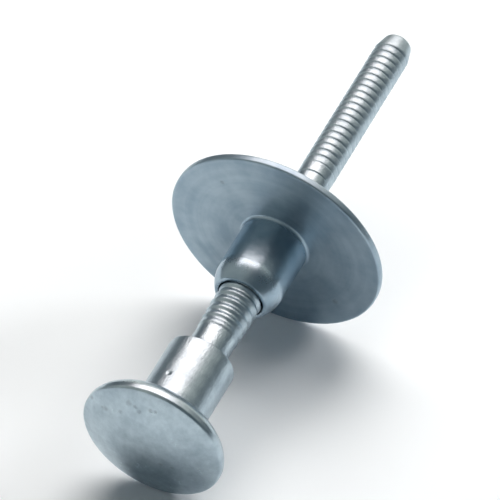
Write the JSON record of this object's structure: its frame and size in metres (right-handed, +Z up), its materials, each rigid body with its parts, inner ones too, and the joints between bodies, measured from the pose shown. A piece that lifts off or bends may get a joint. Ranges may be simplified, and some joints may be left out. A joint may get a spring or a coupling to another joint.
{
  "type": "lock bolt with flanged collar",
  "caption": "Lock bolt for panels: a domed-head pin with a stepped shank, ring-shaped lock grooves and a long grooved tail, and a wide-flanged collar that slides along it.",
  "frame": {"origin": "middle of the bounding box on the floor under the bolt, which lies on the rims of its head and flange", "axes": "+X from the head to the tail along the floor, +Z up; the bolt's own axis rises by 8.1 degrees towards the tail"},
  "size_m": [0.0806, 0.0318, 0.0317],
  "materials": {
    "pin_steel": "zinc-plated steel, bright and slightly blue, smooth on the shank and rolled on the grooves",
    "collar_steel": "zinc-plated steel, satin, with fine turned rings on the flange"
  },
  "bodies": {
    "pin": {"pin": "pin_steel"},
    "collar": {"flanged_collar": "collar_steel"}
  },
  "joints": [
    {"name": "collar_slide", "type": "slide", "parent": "pin", "child": "collar", "axis": [0.99, 0, 0.1412], "range_m": [-0.01215, 0.049]}
  ]
}
